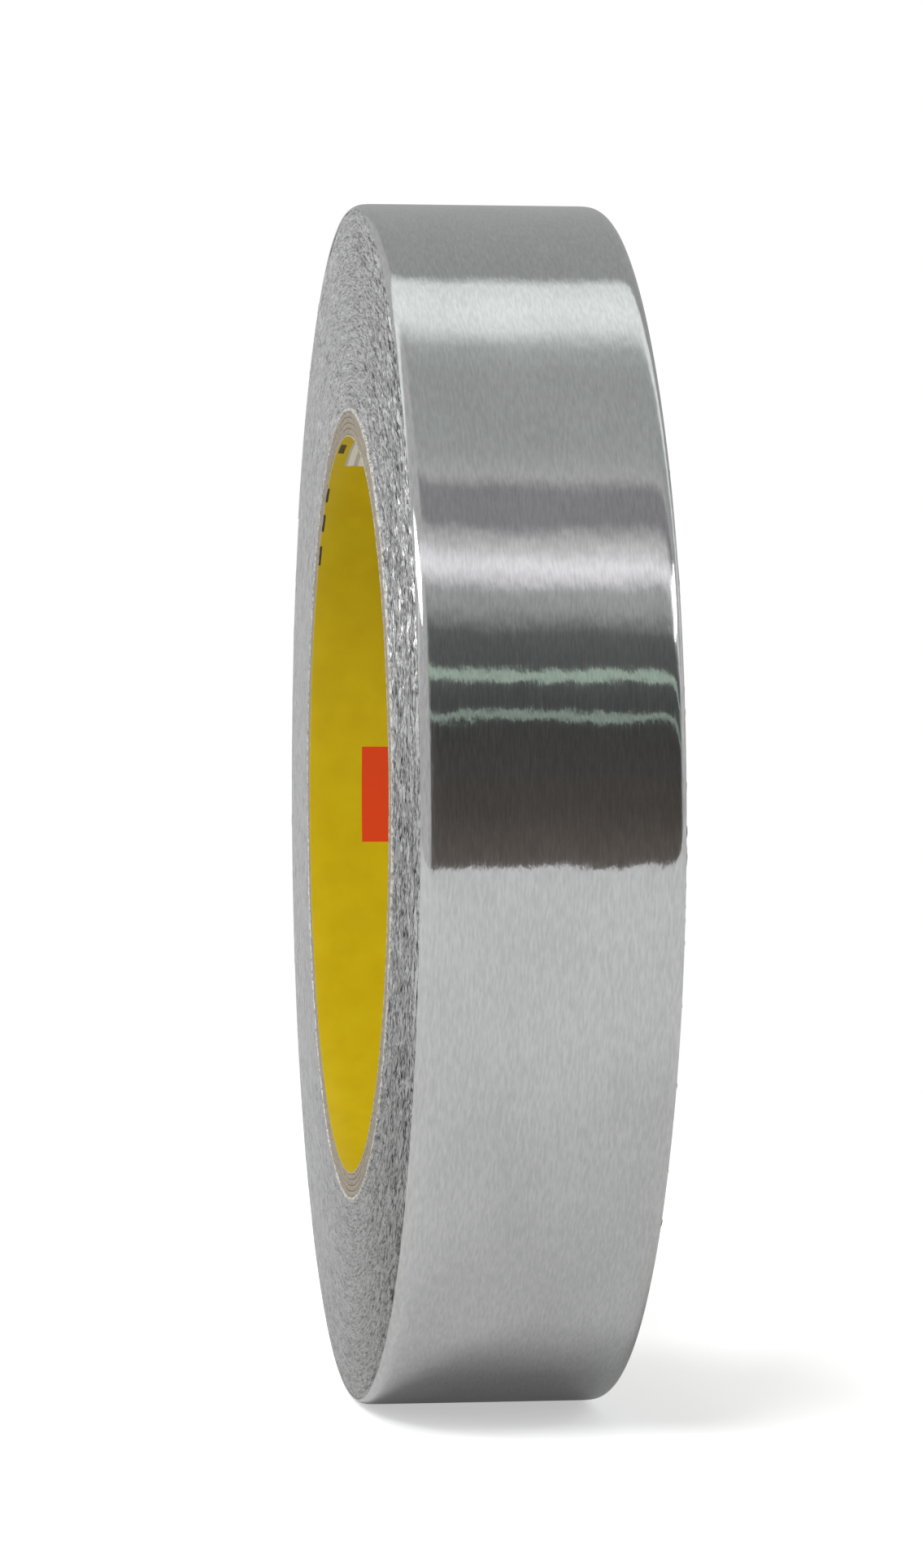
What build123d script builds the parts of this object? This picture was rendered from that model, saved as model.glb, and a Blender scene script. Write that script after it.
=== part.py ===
from build123d import *
import math
import os

# A roll of aluminium foil tape on a spiral-wound paperboard core.
#
# Frame: +Y is the roll's axis, +Z is up, and the origin is the centre of the core's bore.
# The roll stands on its rim.  Angles around the roll run from +X towards +Z.
# All sizes are in millimetres.

# Tape
TAPE_WIDTH = 25.4
FOIL_THICKNESS = 0.075
ADHESIVE_THICKNESS = 0.045

# Roll and core
ROLL_RADIUS = 62.0
BORE_RADIUS = 38.1
LINER_THICKNESS = 0.2
BOARD_PLY_COUNT = 4
BOARD_PLY_THICKNESS = 0.6
OUTER_PLY_THICKNESS = 0.4
PLY_STRIP_WIDTH = 100.0      # each ply is a paper strip wound at a slant, edge to edge
PLY_SEAM_GAP = 0.25          # left open between the strip's edges
SEAM_STAGGER = 67.0          # degrees from one ply's seam to the next one's

# Wound turns
WOUND_BAND_COUNT = 4         # the wound strip, in stretches of equal thickness
SHOULDER_RADIUS = 0.8        # handling rounds the outermost turns over at both rims
LIP_ANGLE = 50.0             # degrees that the last turn bends down over that shoulder

# Free end: a chain of stiff segments that bends where they meet
FREE_EDGE_ANGLE = 150.0
SEGMENT_COUNT = 6
SEGMENT_SPAN = 7.5           # degrees of the roll that one segment covers
SEGMENT_GAP = 0.05           # degrees left open between neighbours
LIFT = 0.1                   # the free end stands this far off the turn below it

# Worked out from the sizes above
TAPE_THICKNESS = FOIL_THICKNESS + ADHESIVE_THICKNESS
CORE_WALL = LINER_THICKNESS + BOARD_PLY_COUNT * BOARD_PLY_THICKNESS + OUTER_PLY_THICKNESS
CORE_RADIUS = BORE_RADIUS + CORE_WALL
FIRST_TURN_RADIUS = CORE_RADIUS + TAPE_THICKNESS
PACK_RADIUS = ROLL_RADIUS - TAPE_THICKNESS
BAND_THICKNESS = (PACK_RADIUS - FIRST_TURN_RADIUS) / WOUND_BAND_COUNT
HINGE_ANGLE = FREE_EDGE_ANGLE - SEGMENT_COUNT * SEGMENT_SPAN
BORE_GIRTH = 2 * math.pi * BORE_RADIUS
SEAM_LEAD = BORE_GIRTH * math.tan(math.asin(PLY_STRIP_WIDTH / BORE_GIRTH))


def stand_up(shape):
    """Turn a shape built about local Z so that its axis lies along Y."""
    return Rot(X=90) * shape


def tube(inner_radius, outer_radius):
    """Plain tube, as wide as the tape."""
    return Cylinder(outer_radius, TAPE_WIDTH) - Cylinder(inner_radius, 2 * TAPE_WIDTH)


def ply(inner_radius, thickness, seam_angle):
    """One paper ply: a tube slit along the slanted butt seam of its strip."""
    reach = 2 * TAPE_WIDTH
    middle_radius = inner_radius + thickness / 2
    helix = Helix(SEAM_LEAD, reach, middle_radius, center=(0, 0, -reach / 2))
    section = Plane(helix @ 0, x_dir=(1, 0, 0), z_dir=helix % 0) * Rectangle(4 * thickness, PLY_SEAM_GAP)
    cutter = sweep(section, path=helix, is_frenet=True)
    return stand_up(tube(inner_radius, inner_radius + thickness) - Rot(Z=seam_angle) * cutter)


def wound_band(inner_radius, outer_radius, shoulder=0.0):
    """Stretch of wound turns, with its outer corners rounded where a shoulder is given."""
    band = tube(inner_radius, outer_radius)
    if shoulder:
        rims = band.edges().filter_by(GeomType.CIRCLE).sort_by(lambda rim: rim.radius)[-2:]
        band = fillet(rims, shoulder)
    return stand_up(band)


def lipped_layer(bottom, top, start_angle, span, lift=0.0):
    """Layer of the last turn that bends down over both shoulders.

    Bottom and top are heights above the wound pack, and lift raises the whole layer.
    """
    bend_radius = PACK_RADIUS - SHOULDER_RADIUS + lift
    half_flat = TAPE_WIDTH / 2 - SHOULDER_RADIUS
    outline = []
    for radius in (SHOULDER_RADIUS + bottom, SHOULDER_RADIUS + top):
        lower_lip = CenterArc((bend_radius, -half_flat), radius, -LIP_ANGLE, LIP_ANGLE)
        upper_lip = CenterArc((bend_radius, half_flat), radius, 0, LIP_ANGLE)
        outline += [lower_lip, Line(lower_lip @ 1, upper_lip @ 0), upper_lip]
    outline.append(Line(outline[0] @ 0, outline[3] @ 0))
    outline.append(Line(outline[2] @ 1, outline[5] @ 1))
    profile = Plane.XZ * make_face(outline)
    return stand_up(Rot(Z=start_angle) * revolve(profile, Axis.Z, span))


def make_core():
    """Yellow liner in the bore, the board plies and the white ply outside them."""
    names = ["core_liner"]
    thicknesses = [LINER_THICKNESS]
    for number in range(1, BOARD_PLY_COUNT + 1):
        names.append(f"core_board_ply_{number}")
        thicknesses.append(BOARD_PLY_THICKNESS)
    names.append("core_outer_ply")
    thicknesses.append(OUTER_PLY_THICKNESS)
    nodes = {}
    radius = BORE_RADIUS
    for index, (name, thickness) in enumerate(zip(names, thicknesses)):
        nodes[name] = ply(radius, thickness, index * SEAM_STAGGER)
        radius += thickness
    return nodes


def make_wound_turns():
    """First turn on the core as its two layers, then the wound stretches over it."""
    first_foil_radius = CORE_RADIUS + ADHESIVE_THICKNESS
    nodes = {
        "first_turn_adhesive": stand_up(tube(CORE_RADIUS, first_foil_radius)),
        "first_turn_foil": stand_up(tube(first_foil_radius, FIRST_TURN_RADIUS)),
    }
    for number in range(1, WOUND_BAND_COUNT + 1):
        outer_radius = FIRST_TURN_RADIUS + number * BAND_THICKNESS
        shoulder = SHOULDER_RADIUS if number == WOUND_BAND_COUNT else 0.0
        nodes[f"wound_band_{number}"] = wound_band(outer_radius - BAND_THICKNESS, outer_radius, shoulder)
    return nodes


def make_last_turn():
    """Last turn as its two layers, from under the free edge round to the first bend."""
    start = FREE_EDGE_ANGLE
    span = 360 - SEGMENT_COUNT * SEGMENT_SPAN - SEGMENT_GAP
    return {
        "last_turn_adhesive": lipped_layer(0, ADHESIVE_THICKNESS, start, span),
        "last_turn_foil": lipped_layer(ADHESIVE_THICKNESS, TAPE_THICKNESS, start, span),
    }


def make_free_end():
    """Segments of the free end, each one a layer of foil with its adhesive."""
    nodes = {}
    span = SEGMENT_SPAN - SEGMENT_GAP
    for number in range(1, SEGMENT_COUNT + 1):
        start = HINGE_ANGLE + (number - 1) * SEGMENT_SPAN
        nodes[f"free_end_adhesive_{number}"] = lipped_layer(0, ADHESIVE_THICKNESS, start, span, LIFT)
        nodes[f"free_end_foil_{number}"] = lipped_layer(ADHESIVE_THICKNESS, TAPE_THICKNESS, start, span, LIFT)
    return nodes


def main():
    os.makedirs("parts", exist_ok=True)
    nodes = {**make_core(), **make_wound_turns(), **make_last_turn(), **make_free_end()}
    for name, shape in nodes.items():
        export_step(shape, f"parts/{name}.step")


main()
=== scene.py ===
import math

import bmesh
import bpy
import numpy as np
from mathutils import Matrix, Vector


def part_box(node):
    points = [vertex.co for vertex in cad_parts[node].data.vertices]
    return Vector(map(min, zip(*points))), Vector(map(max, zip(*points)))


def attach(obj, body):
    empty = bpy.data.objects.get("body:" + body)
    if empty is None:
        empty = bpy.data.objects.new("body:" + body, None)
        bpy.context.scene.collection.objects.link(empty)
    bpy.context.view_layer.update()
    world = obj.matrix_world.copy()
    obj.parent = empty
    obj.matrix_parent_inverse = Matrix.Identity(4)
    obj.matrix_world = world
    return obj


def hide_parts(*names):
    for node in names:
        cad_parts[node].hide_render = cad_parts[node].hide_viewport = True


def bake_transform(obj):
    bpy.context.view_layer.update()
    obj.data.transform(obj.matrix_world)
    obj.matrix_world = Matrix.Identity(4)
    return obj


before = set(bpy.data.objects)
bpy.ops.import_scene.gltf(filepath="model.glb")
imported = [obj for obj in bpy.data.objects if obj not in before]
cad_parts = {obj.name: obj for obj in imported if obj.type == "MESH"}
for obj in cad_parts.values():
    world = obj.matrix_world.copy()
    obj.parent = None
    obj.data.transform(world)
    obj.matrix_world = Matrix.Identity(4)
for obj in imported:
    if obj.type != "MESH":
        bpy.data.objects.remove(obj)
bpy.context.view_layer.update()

# A roll of aluminium foil tape that stands on its rim.  Y is the roll's axis.
# Lengths are in metres, and angles around the roll run from +X towards +Z.
MM = 0.001
TAU = 2 * math.pi

# Thicknesses of the core's plies
LINER = 0.2 * MM
BOARD_PLY = 0.6 * MM
OUTER_PLY = 0.4 * MM

# Sizes that the CAD frame gives
HALF_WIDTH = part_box("wound_band_1")[1].y
BORE_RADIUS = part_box("core_liner")[1].x - LINER
CORE_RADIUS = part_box("core_outer_ply")[1].x
FIRST_TURN_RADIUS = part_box("first_turn_foil")[1].x
PACK_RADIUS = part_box("wound_band_4")[1].x
BAND_COUNT = 4
BAND_THICKNESS = (PACK_RADIUS - FIRST_TURN_RADIUS) / BAND_COUNT

# The tape and its free end
ADHESIVE = 0.045 * MM
TAPE = 0.12 * MM
FREE_EDGE = math.radians(150)
SEGMENT = math.radians(7.5)
SEGMENT_COUNT = 6
FIRST_BEND = FREE_EDGE - SEGMENT_COUNT * SEGMENT
FREE_END_LIFT = 0.1 * MM

# The rounded rims, as how far the surface leans over at distances along the tape from the lip's end
RIM_LENGTH = 3.0 * MM
LEAN_START = 2.2 * MM
LEAN = math.radians(3)
LIP_ANGLE = math.radians(52)
TURN_OVER = 1.3 * MM


# ---------------------------------------------------------------- noise

def smooth_noise(seed, columns, rows):
    """Smooth random height over (u, v), each 0 to 1, that repeats along u."""
    grid = np.random.default_rng(seed).uniform(-1, 1, (columns, rows + 2))

    def height(u, v):
        u = np.mod(u, 1.0) * columns
        v = np.clip(v, 0, 1) * rows
        u0 = np.floor(u).astype(int)
        v0 = np.minimum(np.floor(v).astype(int), rows)
        fu = u - u0
        fv = v - v0
        fu = fu * fu * (3 - 2 * fu)
        fv = fv * fv * (3 - 2 * fv)
        a = grid[u0 % columns, v0]
        b = grid[(u0 + 1) % columns, v0]
        c = grid[u0 % columns, v0 + 1]
        d = grid[(u0 + 1) % columns, v0 + 1]
        return (a * (1 - fu) + b * fu) * (1 - fv) + (c * (1 - fu) + d * fu) * fv

    return height


# ---------------------------------------------------------------- meshes

def add_object(name, mesh, material, nodes):
    piece = bpy.data.objects.new(name, mesh)
    bpy.context.scene.collection.objects.link(piece)
    mesh.materials.append(material)
    for node in nodes:
        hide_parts(node)
    return piece


def loft(name, rings, closed, sharp=50):
    """Closed mesh through rings of points, an array of (ring, point, xyz).

    Closed joins the last ring to the first.  An open loft is capped at both ends.
    """
    ring_count, point_count, _ = rings.shape
    index = np.arange(ring_count * point_count).reshape(ring_count, point_count)
    here = index if closed else index[:-1]
    after = np.roll(index, -1, axis=0) if closed else index[1:]
    quads = np.stack([here, np.roll(here, -1, axis=1), np.roll(after, -1, axis=1), after], axis=-1)
    faces = quads.reshape(-1, 4).tolist()
    if not closed:
        faces += [index[0][::-1].tolist(), index[-1].tolist()]
    mesh = bpy.data.meshes.new(name)
    mesh.from_pydata(rings.reshape(-1, 3), [], faces)
    shape = bmesh.new()
    shape.from_mesh(mesh)
    bmesh.ops.recalc_face_normals(shape, faces=shape.faces)
    shape.to_mesh(mesh)
    shape.free()
    mesh.shade_smooth()
    mesh.set_sharp_from_angle(angle=math.radians(sharp))
    return mesh


def around(radius, across, angle):
    """Points at a radius, a place across the width and an angle around the roll."""
    return np.stack([radius * np.cos(angle), across + 0 * angle, radius * np.sin(angle)], axis=-1)


# ---------------------------------------------------------------- shape of the tape

def rim_curve(samples):
    """Drop, place across and lean of the tape's surface, from the middle of the width over one rim."""
    fine = np.linspace(0, RIM_LENGTH + TURN_OVER * 0.6, 600)
    gentle = np.clip((fine - (RIM_LENGTH - LEAN_START)) / (LEAN_START - TURN_OVER), 0, 1)
    turned = np.clip((fine - (RIM_LENGTH - TURN_OVER)) / TURN_OVER, 0, None)
    lean = LEAN * gentle ** 2 * (3 - 2 * gentle) + (LIP_ANGLE - LEAN) * turned ** 1.4
    lean = np.minimum(lean, math.radians(90))
    step = fine[1] - fine[0]
    drop = np.concatenate([[0], np.cumsum(np.sin((lean[1:] + lean[:-1]) / 2) * step)])
    out = np.concatenate([[0], np.cumsum(np.cos((lean[1:] + lean[:-1]) / 2) * step)])
    pick = np.concatenate([
        np.linspace(0, RIM_LENGTH - TURN_OVER, samples // 2, endpoint=False),
        np.linspace(RIM_LENGTH - TURN_OVER, fine[-1], samples),
    ])
    across = HALF_WIDTH - 0.03 * MM - out[-1] + np.interp(pick, fine, out)
    return np.interp(pick, fine, drop), across, np.interp(pick, fine, lean), pick


ROLL_WAVES = smooth_noise(11, 24, 2)
ROLL_DENTS = smooth_noise(12, 84, 4)
ROLL_CREASES = smooth_noise(13, 300, 3)
LEFT_RIM = smooth_noise(14, 70, 1)
RIGHT_RIM = smooth_noise(15, 54, 1)


def turn_radius(angle):
    """Outer radius of the last turn: it climbs by one tape thickness from under the free edge."""
    climb = np.clip((angle - FREE_EDGE) / TAU, 0, 1)
    return PACK_RADIUS + TAPE * climb


def tread_height(angle, across):
    """Small unevenness of the last turn's surface."""
    u = angle / TAU
    v = across / (2 * HALF_WIDTH) + 0.5
    height = 0.022 * ROLL_WAVES(u, v) + 0.0045 * ROLL_DENTS(u, v) + 0.0007 * ROLL_CREASES(u, v)
    rim = np.clip(np.abs(across) / HALF_WIDTH - 0.86, 0, 1) / 0.14
    side = np.where(across < 0, LEFT_RIM(u, 0.5), RIGHT_RIM(u, 0.5))
    height = height + 0.05 * side * rim ** 2
    return height * MM


def tape_section(flat_points=34, rim_samples=14):
    """Across the width: drop, place across, lean, for the lip-to-lip surface of the tape."""
    drop, across, lean, run = rim_curve(rim_samples)
    keep = run <= RIM_LENGTH + 1e-9
    drop, across, lean = drop[keep], across[keep], lean[keep]
    flat = np.linspace(-across[0], across[0], flat_points)[1:-1]
    full_drop = np.concatenate([drop[::-1], 0 * flat, drop])
    full_across = np.concatenate([-across[::-1], flat, across])
    full_lean = np.concatenate([-lean[::-1], 0 * flat, lean])
    return full_drop, full_across, full_lean


def tape_strip(name, start, end, bottom, top, lift, step=0.45):
    """Strip of one layer of tape from start to end around the roll, as a closed thin mesh.

    Bottom and top are depths below the tape's outer face, and lift(angle) raises it off the roll.
    """
    drop, across, lean = tape_section()
    count = max(8, int(round(math.degrees(end - start) / step)))
    angles = np.concatenate([
        [start, start + 0.02 * (end - start) / count],
        np.linspace(start, end, count + 1)[1:-1],
        [end - 0.02 * (end - start) / count, end],
    ])[:, None]
    rings = []
    for depth in (top, bottom):
        height = tread_height(angles, across[None, :])
        radius = turn_radius(angles) + height + lift(angles) - drop[None, :] - depth * np.cos(lean)[None, :]
        place = across[None, :] - depth * np.sin(lean)[None, :]
        layer = around(radius, place, angles + 0 * radius)
        rings.append(layer if depth == top else layer[:, ::-1])
    return loft(name, np.concatenate(rings, axis=1), closed=False)


# ---------------------------------------------------------------- shape of the end faces

TURN_SPREAD = smooth_noise(21, 9, 150)
RIDGES_LONG = smooth_noise(22, 70, 90)
RIDGES_SHORT = smooth_noise(23, 240, 150)
CHIPS = smooth_noise(24, 560, 100)
FACE_WAVES = smooth_noise(25, 7, 5)


def face_recess(angle, radius, side):
    """How far the wound edges stand back from the flat of an end face."""
    u = angle / TAU + 0.31 * side
    v = (radius - FIRST_TURN_RADIUS) / (PACK_RADIUS - FIRST_TURN_RADIUS)
    worked = 0.5 + 0.5 * np.cos(angle - 0.3)
    rough = 0.25 + 0.75 * np.clip(1.8 * worked - 0.2, 0, 1)
    ridges = 0.04 * TURN_SPREAD(u, v) + 0.09 * RIDGES_LONG(u, v) + 0.10 * RIDGES_SHORT(u, v)
    ridges = ridges + 0.12 * CHIPS(u, v)
    waves = 0.04 * FACE_WAVES(u, v)
    return (0.20 + rough * ridges + waves) * MM


def band_section(inner, outer, samples, shoulder):
    """Closed outline of a wound band: radius, place across, and side of each point.

    Side is -1 or 1 on an end face and 0 on the hidden walls.
    """
    radii = np.linspace(inner, outer, samples)
    if shoulder:
        drop, across, lean, run = rim_curve(16)
        keep = lean > math.radians(5)
        curve_radius = PACK_RADIUS - drop[keep] + TAPE - 1.02 * TAPE * np.cos(lean[keep])
        curve_across = across[keep] - 1.02 * TAPE * np.sin(lean[keep])
        radii = np.linspace(inner, curve_radius[-1], samples)[:-1]
        face = np.concatenate([radii, curve_radius[::-1]])
        place = np.concatenate([np.full(samples - 1, HALF_WIDTH), curve_across[::-1]])
        on_face = np.concatenate([np.ones(samples - 1), np.linspace(1, 0, len(curve_radius)) ** 2])
    else:
        face = radii
        place = np.full(samples, HALF_WIDTH)
        on_face = np.ones(samples)
    radius = np.concatenate([face, face[::-1]])
    across = np.concatenate([-place, place[::-1]])
    side = np.concatenate([-on_face, on_face[::-1]])
    return radius, across, side


def wound_band(name, inner, outer, samples, shoulder=False, turns=1150):
    """Stretch of wound turns with ridged end faces."""
    radius, across, side = band_section(inner, outer, samples, shoulder)
    angle = np.linspace(0, TAU, turns, endpoint=False)[:, None]
    radius = radius[None, :] + 0 * angle
    depth = face_recess(angle, radius, np.sign(side)[None, :]) * np.abs(side)[None, :]
    place = across[None, :] - np.sign(side)[None, :] * depth
    if shoulder:
        climb = turn_radius(FREE_EDGE + np.mod(angle - FREE_EDGE, TAU)) - PACK_RADIUS - TAPE
        radius = radius + climb * np.clip((radius - inner) / (outer - inner), 0, 1) ** 8
    return loft(name, around(radius, place, angle + 0 * radius), closed=True)


# ---------------------------------------------------------------- shape of the core

SEAM_SLANT = TAU / (110.06 * MM)      # turn of a ply's seam for each metre across the width
SEAM_GAP = math.radians(0.3)
SEAM_STAGGER = math.radians(67)
FIRST_PLY_SEED = 31


def core_ply(name, inner, outer, seam, ragged, proud, seed):
    """Spiral-wound paper ply, slit along its slanted seam, with a ragged cut edge."""
    edge_noise = smooth_noise(seed, 420, 1)
    slow_noise = smooth_noise(seed + 50, 30, 1)
    soft = min(0.12 * MM, (outer - inner) * 0.3)
    rounded = np.array([0, soft * 0.3, soft])
    edge_radius = np.concatenate([inner + rounded, outer - rounded[::-1]])
    edge_back = np.array([soft, soft * 0.3, 0, 0, soft * 0.3, soft])
    wall = np.linspace(HALF_WIDTH - soft, -HALF_WIDTH + soft, 12)[1:-1]
    radius = np.concatenate([edge_radius, np.full(10, outer), edge_radius[::-1], np.full(10, inner)])
    across = np.concatenate([HALF_WIDTH - edge_back, wall, -HALF_WIDTH + edge_back, wall[::-1]])
    on_edge = np.concatenate([np.ones(6), np.zeros(10), -np.ones(6), np.zeros(10)])
    share = np.linspace(0, 1, 760)[:, None]
    frayed = ragged * (edge_noise(share, 0.5) + 0.6 * slow_noise(share, 0.5)) - proud
    across = across[None, :] - on_edge[None, :] * frayed
    angle = seam - SEAM_SLANT * across + SEAM_GAP / 2 + share * (TAU - SEAM_GAP)
    return loft(name, around(radius[None, :] + 0 * share, across, angle), closed=False)


# ---------------------------------------------------------------- materials

class Nodes:
    """A node tree under construction, with short calls for its nodes."""

    def __init__(self, tree):
        self.tree = tree

    def add(self, kind, **settings):
        node = self.tree.nodes.new(kind)
        for key, value in settings.items():
            setattr(node, key, value)
        return node

    def link(self, source, target):
        self.tree.links.new(source, target)

    def call(self, kind, operation, values):
        """First output of a math node whose inputs are constants or other outputs."""
        node = self.add(kind, operation=operation)
        for socket, value in zip(node.inputs, values):
            if isinstance(value, bpy.types.NodeSocket):
                self.link(value, socket)
            else:
                socket.default_value = value
        return node

    def math(self, operation, *values):
        return self.call("ShaderNodeMath", operation, values).outputs["Value"]

    def vector_math(self, operation, *values):
        return self.call("ShaderNodeVectorMath", operation, values).outputs["Vector"]

    def dot(self, first, second):
        return self.call("ShaderNodeVectorMath", "DOT_PRODUCT", (first, second)).outputs["Value"]

    def scale_range(self, value, start, end, low=0.0, high=1.0):
        """Value from start to end, clamped and carried over to low to high."""
        node = self.add("ShaderNodeMapRange")
        node.inputs["From Min"].default_value = start
        node.inputs["From Max"].default_value = end
        node.inputs["To Min"].default_value = low
        node.inputs["To Max"].default_value = high
        self.link(value, node.inputs["Value"])
        return node.outputs["Result"]

    def mix(self, factor, first, second):
        node = self.add("ShaderNodeMix", data_type="RGBA")
        sockets = (node.inputs["Factor"], node.inputs[6], node.inputs[7])
        for socket, value in zip(sockets, (factor, first, second)):
            if isinstance(value, tuple):
                socket.default_value = (*value, 1)
            else:
                self.link(value, socket)
        return node.outputs[2]


class Surface(Nodes):
    """A material under construction."""

    def __init__(self, name):
        self.material = bpy.data.materials.new(name)
        self.material.use_nodes = True
        super().__init__(self.material.node_tree)
        self.shader = self.tree.nodes["Principled BSDF"]
        self.place = self.add("ShaderNodeTexCoord").outputs["Object"]
        split = self.add("ShaderNodeSeparateXYZ")
        self.link(self.place, split.inputs[0])
        self.x, self.y, self.z = split.outputs

    def set(self, **values):
        for name, value in values.items():
            self.shader.inputs[name.replace("_", " ")].default_value = value

    def drive(self, name, value):
        """Feed one of the shader's sockets."""
        self.link(value, self.shader.inputs[name])

    def stretched(self, along, across):
        """Place, scaled along the roll's circumference and across its width."""
        return self.vector_math("MULTIPLY", self.place, (along, across, along))

    def noise(self, vector, detail=2.0, w=None, roughness=0.5):
        node = self.add("ShaderNodeTexNoise", noise_dimensions="3D" if w is None else "4D")
        node.inputs["Scale"].default_value = 1.0
        node.inputs["Detail"].default_value = detail
        node.inputs["Roughness"].default_value = roughness
        self.link(vector, node.inputs["Vector"])
        if w is not None:
            self.link(w, node.inputs["W"])
        return node.outputs["Fac"]

    def ramp(self, value, *stops):
        node = self.add("ShaderNodeValToRGB")
        elements = node.color_ramp.elements
        while len(elements) < len(stops):
            elements.new(0.5)
        for element, (position, colour) in zip(elements, stops):
            element.position = position
            element.color = (*colour, 1) if len(colour) == 3 else colour
        self.link(value, node.inputs[0])
        return node.outputs["Color"]

    def spread(self, value, low, high):
        """Value from about 0.3 to 0.7, stretched to run from low to high."""
        return self.scale_range(value, 0.3, 0.7, low, high)

    def bump(self, height, distance, before=None):
        node = self.add("ShaderNodeBump")
        node.inputs["Strength"].default_value = 1.0
        node.inputs["Distance"].default_value = distance
        self.link(height, node.inputs["Height"])
        if before is not None:
            self.link(before, node.inputs["Normal"])
        return node.outputs["Normal"]

    def distance(self, first, second):
        """Length of a plane vector."""
        square = self.math("ADD", self.math("MULTIPLY", first, first), self.math("MULTIPLY", second, second))
        return self.math("SQRT", square)

    def radius(self):
        """Distance from the roll's axis."""
        return self.distance(self.x, self.z)

    def angle(self):
        """Angle around the roll in degrees, from -180 to 180."""
        return self.math("MULTIPLY", self.math("ARCTAN2", self.z, self.x), 180 / math.pi)

    def inside(self, value, low, high):
        """1 where a value lies between low and high, and 0 elsewhere."""
        above = self.math("GREATER_THAN", value, low)
        below = self.math("LESS_THAN", value, high)
        return self.math("MULTIPLY", above, below)


def grey(level):
    return (level, level, level)


def foil_material():
    """Bright rolled foil: fine lines along the tape that smear reflections across its width."""
    s = Surface("foil")
    lines = s.noise(s.stretched(260, 6500), 2.0)
    fine = s.noise(s.stretched(420, 15000), 1.0)
    streaks = s.noise(s.stretched(800, 4200), 2.0)
    patches = s.noise(s.stretched(60, 120), 2.0)
    tone = s.math("ADD", s.math("MULTIPLY", streaks, 0.7), s.math("MULTIPLY", patches, 0.3))
    s.drive("Base Color", s.ramp(tone, (0.36, grey(0.72)), (0.64, grey(0.87))))
    s.drive("Roughness", s.spread(fine, 0.075, 0.11))
    wrinkles = s.noise(s.stretched(140, 170), 2.5)
    normal = s.bump(wrinkles, 0.055 * MM)
    normal = s.bump(streaks, 0.005 * MM, normal)
    normal = s.bump(lines, 0.003 * MM, normal)
    s.drive("Normal", s.bump(fine, 0.0005 * MM, normal))
    across = s.add("ShaderNodeCombineXYZ")
    across.inputs[1].default_value = 1.0
    s.drive("Tangent", across.outputs[0])
    s.set(Metallic=1.0, Anisotropic=1.0)
    return s.material


def adhesive_material():
    """Clear tacky adhesive over foil."""
    s = Surface("adhesive")
    cloudy = s.noise(s.stretched(400, 500), 4.0)
    s.drive("Base Color", s.ramp(cloudy, (0.3, (0.62, 0.61, 0.57)), (0.7, (0.74, 0.73, 0.68))))
    s.drive("Roughness", s.spread(cloudy, 0.22, 0.42))
    s.drive("Normal", s.bump(cloudy, 0.01 * MM))
    s.set(Metallic=0.75, Coat_Weight=0.6, Coat_Roughness=0.15)
    return s.material


def wound_material():
    """Edges of the wound foil: bright and dull dashes along the turns, roughest on the +X side; the -X half
    has a lighter, smoother tone as a painted sheen, and the +X half has painted shade darkening it towards
    the bottom.
    """
    s = Surface("wound_edge")
    radius = s.radius()
    dashes = s.noise(s.stretched(700, 700), 3.0, w=s.math("MULTIPLY", radius, 5600), roughness=0.6)
    long_dashes = s.noise(s.stretched(260, 260), 2.0, w=s.math("MULTIPLY", radius, 4200))
    fine = s.noise(s.stretched(2200, 2200), 2.0, w=s.math("MULTIPLY", radius, 15000))
    mixed = s.math("ADD", s.math("MULTIPLY", dashes, 0.45), s.math("MULTIPLY", long_dashes, 0.25))
    mixed = s.math("ADD", mixed, s.math("MULTIPLY", fine, 0.30))
    rough_stops = ((0.40, 0.04), (0.46, 0.32), (0.51, 0.66), (0.56, 1.0))
    # the lighter, smoother stops below are a painted sheen for the -X half
    painted_sheen_stops = ((0.38, 0.52), (0.48, 0.80), (0.60, 0.97))
    rough_tone = s.ramp(mixed, *[(place, grey(level)) for place, level in rough_stops])
    painted_sheen_tone = s.ramp(mixed, *[(place, grey(level)) for place, level in painted_sheen_stops])
    # 0 on the -X half, which takes the painted sheen tone, up to 1 on the rough +X half, which also gets
    # deeper bumps
    rough_side_and_painted_sheen = s.scale_range(s.x, -60 * MM, 45 * MM)
    # painted shade: the +X half's tone darkens towards the bottom, down to 0.45 of its brightness
    lower = s.scale_range(s.z, -55 * MM, 20 * MM, low=0.45)
    shaded = s.vector_math("MULTIPLY", rough_tone, s.mix(lower, grey(0), grey(1)))
    tone = s.mix(rough_side_and_painted_sheen, painted_sheen_tone, shaded)
    # the turn under the free end shows its flat foil
    beyond = s.math("GREATER_THAN", radius, PACK_RADIUS - 0.06 * MM)
    between = s.math("LESS_THAN", s.math("ABSOLUTE", s.y), HALF_WIDTH - 0.9 * MM)
    flat = s.math("MULTIPLY", beyond, between)
    s.drive("Base Color", s.mix(flat, tone, grey(0.80)))
    roughness = s.spread(mixed, 0.50, 0.20)
    lowered = s.math("MULTIPLY", flat, s.math("SUBTRACT", roughness, 0.14))
    s.drive("Roughness", s.math("SUBTRACT", roughness, lowered))
    depth = s.math("MULTIPLY", mixed, s.scale_range(rough_side_and_painted_sheen, 0, 1, 0.45, 1.0))
    depth = s.math("MULTIPLY", depth, s.math("SUBTRACT", 1.0, s.math("MULTIPLY", flat, 0.95)))
    s.drive("Normal", s.bump(depth, 0.16 * MM))
    s.set(Metallic=0.85)
    return s.material


def paper_fibres(s, coarse, distance):
    """Fibrous bump that board and paper share, and its height."""
    fibres = s.noise(s.stretched(coarse, coarse), 5.0, roughness=0.65)
    s.drive("Normal", s.bump(fibres, distance))
    return fibres


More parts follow.
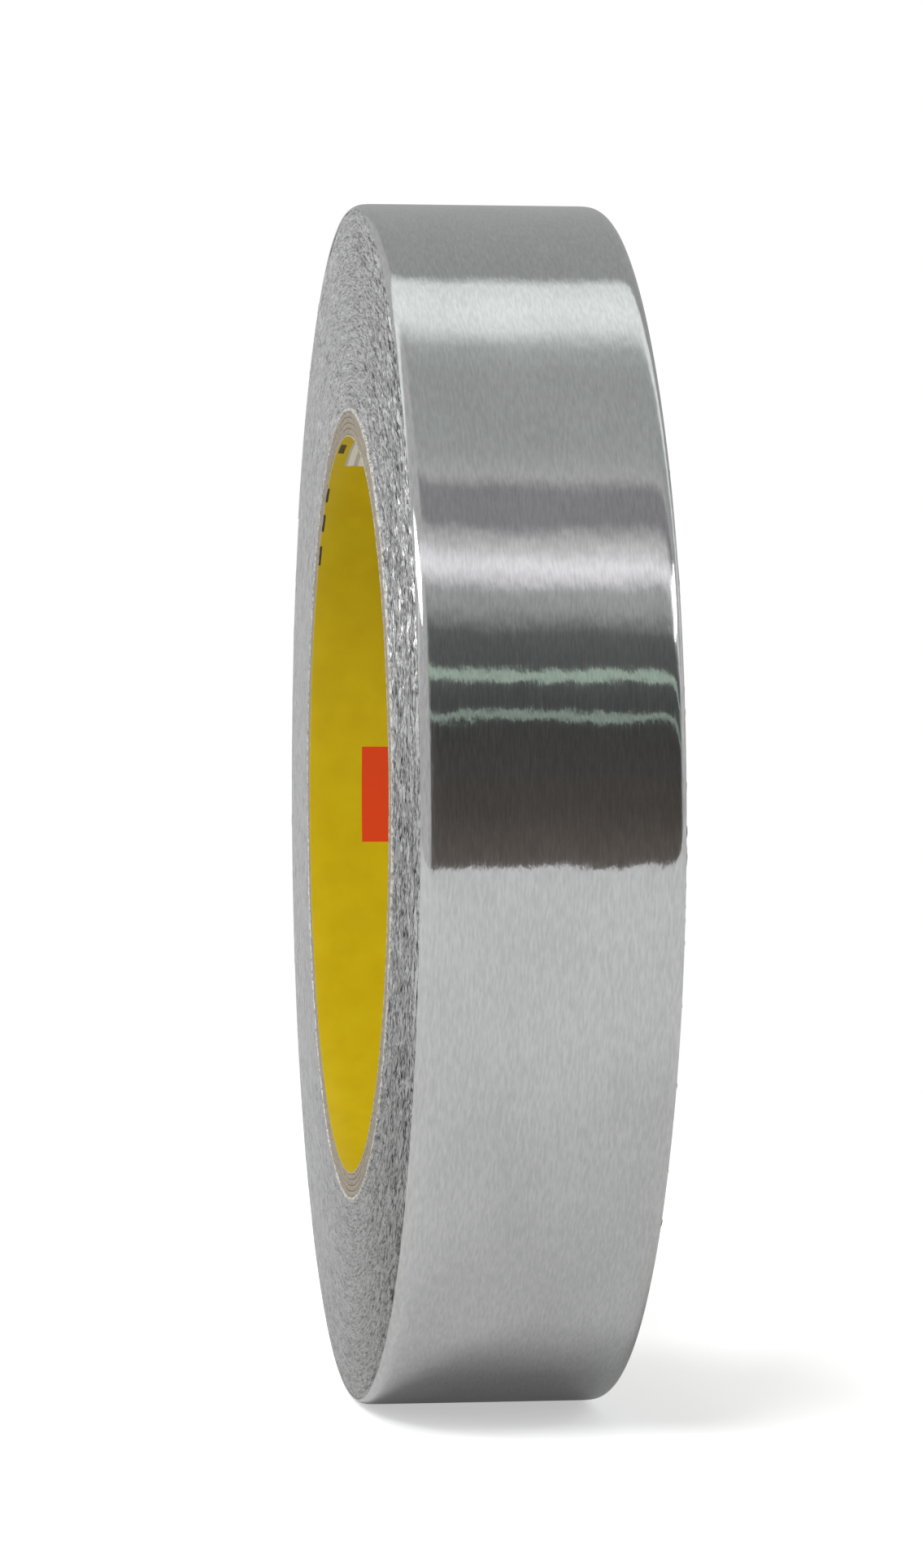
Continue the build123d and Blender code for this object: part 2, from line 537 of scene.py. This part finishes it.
def board_material():
    """Grey-brown core board."""
    s = Surface("core_board")
    fibres = paper_fibres(s, 2600, 0.05 * MM)
    tone = s.ramp(fibres, (0.3, (0.22, 0.185, 0.14)), (0.7, (0.44, 0.39, 0.32)))
    s.drive("Base Color", tone)
    s.set(Roughness=0.88)
    return s.material


def white_material():
    """White outer paper."""
    s = Surface("white_paper")
    fibres = paper_fibres(s, 2200, 0.04 * MM)
    s.drive("Base Color", s.ramp(fibres, (0.35, (0.22, 0.20, 0.17)), (0.58, (0.66, 0.65, 0.62))))
    s.set(Roughness=0.75)
    return s.material


def liner_material():
    """Yellow printed liner with plain coloured blocks, and a white paper edge."""
    s = Surface("liner_paper")
    angle = s.angle()
    fibres = paper_fibres(s, 1500, 0.012 * MM)
    mottle = s.noise(s.stretched(300, 300), 3.0)
    yellow = s.ramp(mottle, (0.3, (0.48, 0.338, 0.001)), (0.7, (0.52, 0.378, 0.002)))
    turned = s.math("ABSOLUTE", angle)
    # red block, twice around the bore
    red = s.math("MULTIPLY", s.inside(turned, 172.0, 181.0), s.inside(s.y, -6.9 * MM, -1.5 * MM))
    colour = s.mix(red, yellow, (0.62, 0.05, 0.008))
    # white panel with grey bars
    panel = s.math("MULTIPLY", s.inside(angle, 97.0, 110.8), s.inside(s.y, -11.4 * MM, -8.0 * MM))
    bars = s.math("GREATER_THAN", s.math("FRACT", s.math("MULTIPLY", s.y, 900)), 0.6)
    panel_colour = s.mix(bars, (0.66, 0.65, 0.60), (0.42, 0.42, 0.40))
    colour = s.mix(panel, colour, panel_colour)
    # dark dashes beside the edge
    dash_places = s.math("GREATER_THAN", s.math("FRACT", s.math("MULTIPLY", angle, 0.13)), 0.45)
    dash_row = s.math("MULTIPLY", s.inside(s.y, -12.8 * MM, -12.45 * MM), s.inside(angle, 119.0, 140.0))
    mark = s.math("MULTIPLY", s.inside(s.y, -12.5 * MM, -11.9 * MM), s.inside(angle, 99.5, 105.0))
    dashes = s.math("MAXIMUM", s.math("MULTIPLY", dash_places, dash_row), mark)
    colour = s.mix(dashes, colour, (0.05, 0.045, 0.02))
    cut_edge = s.math("GREATER_THAN", s.radius(), BORE_RADIUS + 0.05 * MM)
    cut_tone = s.ramp(fibres, (0.38, (0.26, 0.23, 0.15)), (0.6, (0.56, 0.53, 0.43)))
    colour = s.mix(cut_edge, colour, cut_tone)
    s.drive("Base Color", colour)
    s.drive("Roughness", s.spread(fibres, 0.42, 0.55))
    s.set(Specular_IOR_Level=0.2)
    return s.material


# ---------------------------------------------------------------- the pieces

def make_core(liner, board, white):
    """Six nested plies, each with a cut edge that is ragged and stands proud of the end face."""
    plies = [("core_liner", LINER, liner, "liner_paper", 0.03, -0.02)]
    plies += [(f"core_board_ply_{n}", BOARD_PLY, board, "core_board", 0.05, -0.06) for n in range(1, 5)]
    plies += [("core_outer_ply", OUTER_PLY, white, "white_paper", 0.07, 0.03)]
    inner = BORE_RADIUS
    for number, (node, thickness, material, slot, ragged, proud) in enumerate(plies):
        outer = inner + thickness
        seam = number * SEAM_STAGGER
        mesh = core_ply("vis_" + node, inner, outer, seam, ragged * MM, proud * MM, FIRST_PLY_SEED + number)
        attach(add_object("vis_" + node, mesh, material, [node]), "roll")
        inner = outer


def make_wound_turns(foil, adhesive, wound):
    layers = [("first_turn_adhesive", CORE_RADIUS, CORE_RADIUS + ADHESIVE, adhesive, "adhesive")]
    layers += [("first_turn_foil", CORE_RADIUS + ADHESIVE, FIRST_TURN_RADIUS, foil, "foil")]
    for node, inner, outer, material, slot in layers:
        mesh = wound_band("vis_" + node, inner, outer, 2)
        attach(add_object("vis_" + node, mesh, material, [node]), "roll")
    for number in range(1, BAND_COUNT + 1):
        node = f"wound_band_{number}"
        inner = FIRST_TURN_RADIUS + (number - 1) * BAND_THICKNESS
        mesh = wound_band("vis_" + node, inner, inner + BAND_THICKNESS, 42, shoulder=number == BAND_COUNT)
        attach(add_object("vis_" + node, mesh, wound, [node]), "roll")


def free_end_lift(angle):
    """How far the free end stands off the roll, from nothing before its first bend."""
    share = np.clip((angle - TAU - FIRST_BEND + SEGMENT / 2) / (FREE_EDGE - FIRST_BEND), 0, 1)
    return FREE_END_LIFT * np.clip(share * 8, 0, 1) + 0.35 * MM * share ** 3


def make_tape(foil, adhesive):
    """Last turn, then the free end in pieces that meet in the middle of each stiff segment."""
    layers = [("foil", foil, 0.0, TAPE - ADHESIVE), ("adhesive", adhesive, TAPE - ADHESIVE, TAPE)]
    middles = [FIRST_BEND + TAU + (number - 0.5) * SEGMENT for number in range(SEGMENT_COUNT + 1)]
    for layer, material, top, bottom in layers:
        mesh = tape_strip(f"vis_last_turn_{layer}", FREE_EDGE, middles[0], bottom, top, free_end_lift)
        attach(add_object(f"vis_last_turn_{layer}", mesh, material, [f"last_turn_{layer}"]), "roll")
        bodies = ["roll"] + [f"free_end_{number}" for number in range(1, SEGMENT_COUNT + 1)]
        for number in range(1, SEGMENT_COUNT + 1):
            start, end = middles[number - 1], middles[number]
            name = f"vis_free_end_{layer}_{number}"
            mesh = tape_strip(name, start, end, bottom, top, free_end_lift)
            piece = add_object(name, mesh, material, [f"free_end_{layer}_{number}"])
            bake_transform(piece)
        name = f"vis_free_edge_{layer}"
        mesh = tape_strip(name, middles[-1], FREE_EDGE + TAU, bottom, top, free_end_lift)
        piece = add_object(name, mesh, material, [f"free_end_{layer}_{SEGMENT_COUNT}"])
        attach(piece, bodies[-1])


# ---------------------------------------------------------------- studio

VIEW_AZIMUTH = math.radians(82.54)
VIEW_ELEVATION = math.radians(1.7)
VIEW_DISTANCE = 541.5 * MM
TOWARDS_CAMERA = (math.sin(VIEW_AZIMUTH), -math.cos(VIEW_AZIMUTH), 0.0)
TABLE_EDGE = 0.39
FLOOR_REACH = 3.0
FLOOR_TONE = 0.92
FLOOR_TONE_IN_FOIL = 0.51
FLOOR_FADE = (0.10, 0.45)      # distances at which the floor starts to fade to white, and is gone


def make_camera():
    camera = bpy.data.objects.new("camera", bpy.data.cameras.new("camera"))
    bpy.context.scene.collection.objects.link(camera)
    level = math.cos(VIEW_ELEVATION)
    camera.location = (
        VIEW_DISTANCE * TOWARDS_CAMERA[0] * level,
        VIEW_DISTANCE * TOWARDS_CAMERA[1] * level,
        VIEW_DISTANCE * math.sin(VIEW_ELEVATION),
    )
    camera.rotation_euler = (math.pi / 2 - VIEW_ELEVATION, 0, VIEW_AZIMUTH)
    camera.data.lens = 119.35
    camera.data.sensor_width = 36
    camera.data.shift_x = -0.0039
    camera.data.shift_y = 0.01275
    camera.data.clip_start = 0.01
    bpy.context.scene.camera = camera


# The room that the foil mirrors, listed as degrees up from the camera's side, over the top at 90,
# to the far side at 180, each with a brightness and a tint
NEUTRAL = (1.0, 1.0, 1.0)
GREEN = (0.80, 1.0, 0.85)
WARM = (1.0, 0.88, 0.78)
PALE_GREEN = (0.95, 1.0, 0.98)
COOL = (0.97, 0.96, 1.0)
ROOM = (
    # behind the table top
    (-180, 0.40, NEUTRAL),
    (-90, 0.30, NEUTRAL),
    # dark room on the camera's side
    (-15, 0.13, WARM),
    (0, 0.07, WARM),
    (17, 0.05, NEUTRAL),
    # lower strip lamp
    (17.4, 0.32, GREEN),
    (18.6, 0.32, GREEN),
    (19, 0.065, PALE_GREEN),
    (24.5, 0.085, PALE_GREEN),
    # upper strip lamp
    (25, 0.45, GREEN),
    (26.7, 0.45, GREEN),
    (27.3, 0.09, PALE_GREEN),
    (34, 0.11, PALE_GREEN),
    # window, from its sill to its frame
    (38.5, 0.32, PALE_GREEN),
    (42, 0.36, PALE_GREEN),
    (44, 0.68, COOL),
    (47, 0.92, COOL),
    (51, 0.60, NEUTRAL),
    (56, 0.25, COOL),
    (63, 0.25, COOL),
    # wall above it
    (66, 0.43, NEUTRAL),
    (72, 0.37, PALE_GREEN),
    (90, 0.36, PALE_GREEN),
    # ceiling lamp
    (97, 0.43, PALE_GREEN),
    (103, 0.82, PALE_GREEN),
    (108, 0.90, PALE_GREEN),
    (117, 0.82, PALE_GREEN),
    # ceiling and far wall
    (120, 0.33, PALE_GREEN),
    (180, 0.40, NEUTRAL),
)
# Pale walls beyond both ends of the roll, which its rounded rims mirror: where they start and are
# full, as the sideways part of a direction
WALLS = ((-0.04, -0.16), (0.74, 0.88))
WALL = 0.45


def make_world():
    """White to the camera, and to everything else a dim room with soft lights overhead."""
    world = bpy.data.worlds.new("studio")
    bpy.context.scene.world = world
    world.use_nodes = True
    n = Nodes(world.node_tree)
    direction = n.add("ShaderNodeTexCoord").outputs["Generated"]
    split = n.add("ShaderNodeSeparateXYZ")
    n.link(direction, split.inputs[0])
    _, sideways, up = split.outputs
    turn = n.math("ARCTAN2", up, n.dot(direction, TOWARDS_CAMERA))
    degrees = n.math("MULTIPLY", turn, 180 / math.pi)
    stops = [(degree, [level * part for part in tint]) for degree, level, tint in ROOM]
    colour = stops[0][1]
    for (low, below), (high, above) in zip(stops, stops[1:]):
        rise = [end - start for start, end in zip(below, above)]
        colour = n.vector_math("MULTIPLY_ADD", n.scale_range(degrees, low, high), rise, colour)
    for start, full in WALLS:
        colour = n.vector_math("MAXIMUM", colour, n.scale_range(sideways, start, full, high=WALL))
    seen = n.add("ShaderNodeLightPath")
    shown = n.mix(seen.outputs["Is Camera Ray"], colour, grey(1.0))
    n.link(shown, n.tree.nodes["Background"].inputs["Color"])


def make_floor():
    """Plain pale table top.  It ends before the camera, so the foil mirrors a dark room beyond it."""
    bottom = -(PACK_RADIUS + TAPE)
    corners = [(x * FLOOR_REACH, y * FLOOR_REACH, bottom) for x, y in ((-1, -1), (1, -1), (1, 1), (-1, 1))]
    mesh = bpy.data.meshes.new("floor")
    mesh.from_pydata(corners, [], [(0, 1, 2, 3)])
    floor = bpy.data.objects.new("floor", mesh)
    bpy.context.scene.collection.objects.link(floor)
    s = Surface("floor")
    mesh.materials.append(s.material)
    seen = s.add("ShaderNodeLightPath")
    to_camera, to_foil = seen.outputs["Is Camera Ray"], seen.outputs["Is Glossy Ray"]
    s.set(Roughness=0.9, Specular_IOR_Level=0.2, Emission_Color=(1, 1, 1, 1))
    s.drive("Base Color", s.mix(to_foil, grey(FLOOR_TONE), grey(FLOOR_TONE_IN_FOIL)))
    glow = s.math("ADD", s.math("MULTIPLY", to_camera, 0.45), s.math("MULTIPLY", to_foil, 0.06))
    s.drive("Emission Strength", glow)
    beyond = s.math("GREATER_THAN", s.dot(s.place, TOWARDS_CAMERA), TABLE_EDGE)
    faded = s.math("MULTIPLY", s.scale_range(s.distance(s.x, s.y), *FLOOR_FADE), to_camera)
    gone = s.math("MAXIMUM", s.math("MULTIPLY", beyond, to_foil), faded)
    s.drive("Alpha", s.math("SUBTRACT", 1.0, gone))


def add_light(name, kind, place, glossy):
    light = bpy.data.lights.new(name, kind)
    lamp = bpy.data.objects.new(name, light)
    bpy.context.scene.collection.objects.link(lamp)
    lamp.location = place
    lamp.rotation_euler = lamp.location.to_track_quat("Z", "Y").to_euler()
    lamp.visible_camera = False
    lamp.visible_glossy = glossy
    return light


def make_sun(name, place, strength, softness):
    """Soft even light from the direction of a place.  The foil doesn't mirror it."""
    light = add_light(name, "SUN", place, False)
    light.energy = strength
    light.angle = math.radians(softness)


def make_panel(name, height, sideways, distance, size, power):
    """Bright panel at an angle above the camera's side and an angle to one side, for the rims to mirror."""
    height, sideways = math.radians(height), math.radians(sideways)
    ahead = math.cos(sideways) * math.cos(height)
    place = (
        distance * (TOWARDS_CAMERA[0] * ahead - TOWARDS_CAMERA[1] * math.sin(sideways)),
        distance * (TOWARDS_CAMERA[1] * ahead + TOWARDS_CAMERA[0] * math.sin(sideways)),
        distance * math.cos(sideways) * math.sin(height),
    )
    light = add_light(name, "AREA", place, True)
    light.shape = "RECTANGLE"
    light.size, light.size_y = size
    light.energy = power


foil_surface = foil_material()
adhesive_surface = adhesive_material()
wound_surface = wound_material()
make_core(liner_material(), board_material(), white_material())
make_wound_turns(foil_surface, adhesive_surface, wound_surface)
make_tape(foil_surface, adhesive_surface)
make_camera()
make_world()
make_floor()
make_sun("front_light", (0.62, -0.35, 0.62), 1.45, 20)
make_sun("back_light", (-0.45, -0.30, 0.80), 0.5, 30)
make_panel("left_panel", 47, -38, 0.6, (0.34, 0.10), 0.55)
make_panel("right_panel", 46, 42, 0.6, (0.22, 0.10), 0.2)
bpy.context.scene.view_settings.view_transform = "Standard"
